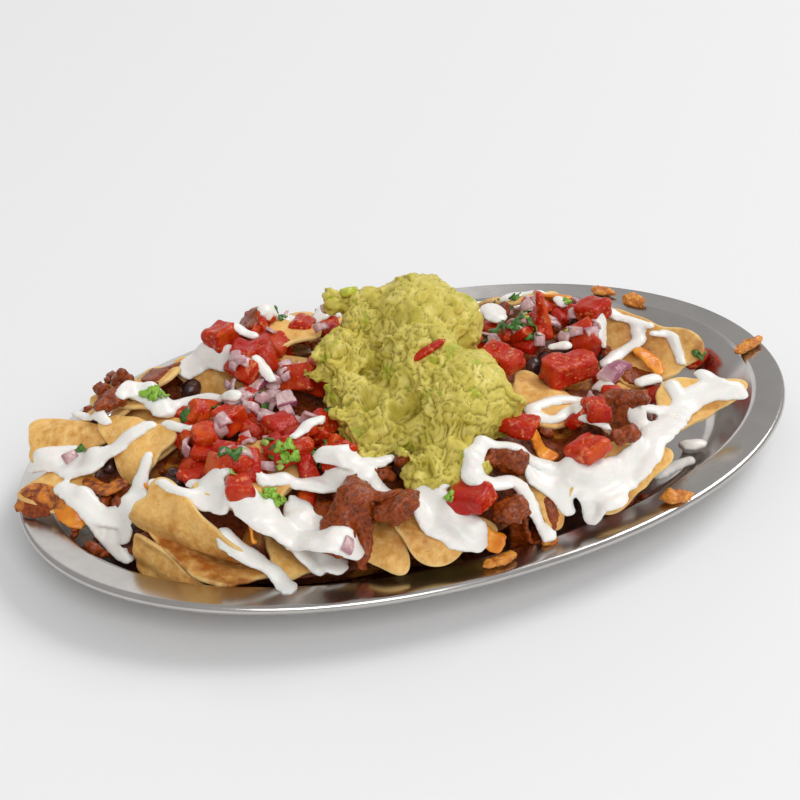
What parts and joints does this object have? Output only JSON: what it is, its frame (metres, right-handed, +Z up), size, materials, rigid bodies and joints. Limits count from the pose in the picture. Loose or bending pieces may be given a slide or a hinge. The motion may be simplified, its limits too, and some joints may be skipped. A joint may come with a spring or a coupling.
{
  "type": "loaded nachos on an oval steel platter",
  "caption": "Loaded nachos heaped on an oval steel platter: curled tortilla chips, beef, beans, diced tomato and onion, melted cheese, crema and a mound of guacamole.",
  "frame": {"origin": "middle of the platter's underside, on the surface it stands on", "axes": "+X along the platter's long axis, -Y towards the eater, +Z up"},
  "size_m": [0.3501, 0.2198, 0.0908],
  "materials": {
    "steel": "satin stainless sheet",
    "chip": "fried corn tortilla, matte with a little oil",
    "beans": "beans, beef and cheese in sauce, moist",
    "guacamole": "mashed avocado, moist",
    "tomato": "wet cut tomato",
    "onion": "wet cut red onion",
    "beef": "braised beef in sauce",
    "cheese": "baked cheese"
  },
  "bodies": {
    "root": {"baked_cheese_01": "cheese", "baked_cheese_02": "cheese", "baked_cheese_03": "cheese", "baked_cheese_04": "cheese", "baked_cheese_05": "cheese", "beef_01": "beef", "beef_02": "beef", "beef_03": "beef", "beef_04": "beef", "beef_05": "beef", "beef_06": "beef", "beef_07": "beef", "beef_08": "beef", "beef_09": "beef", "chip_back_left": "chip", "chip_back_right": "chip", "chip_bridge": "chip", "chip_cheesy": "chip", "chip_curled": "chip", "chip_edge": "chip", "chip_front_low": "chip", "chip_front_round": "chip", "chip_left": "chip", "chip_left_back": "chip", "chip_left_end": "chip", "chip_left_far": "chip", "chip_pooled": "chip", "chip_right_back": "chip", "chip_right_tip": "chip", "chip_standing": "chip", "chip_under_curled": "chip", "guacamole": "guacamole", "heap": "beans", "onion_01": "onion", "onion_02": "onion", "onion_03": "onion", "platter": "steel", "tomato_01": "tomato", "tomato_02": "tomato", "tomato_03": "tomato", "tomato_04": "tomato", "tomato_05": "tomato", "tomato_06": "tomato", "tomato_07": "tomato", "tomato_08": "tomato", "tomato_09": "tomato", "tomato_10": "tomato", "tomato_11": "tomato", "tomato_12": "tomato", "tomato_13": "tomato", "tomato_14": "tomato", "tomato_15": "tomato", "tomato_16": "tomato", "tomato_17": "tomato", "tomato_18": "tomato", "tomato_19": "tomato", "tomato_20": "tomato", "tomato_21": "tomato", "tomato_on_guacamole": "tomato", "tomato_on_wall": "tomato"}
  },
  "joints": []
}
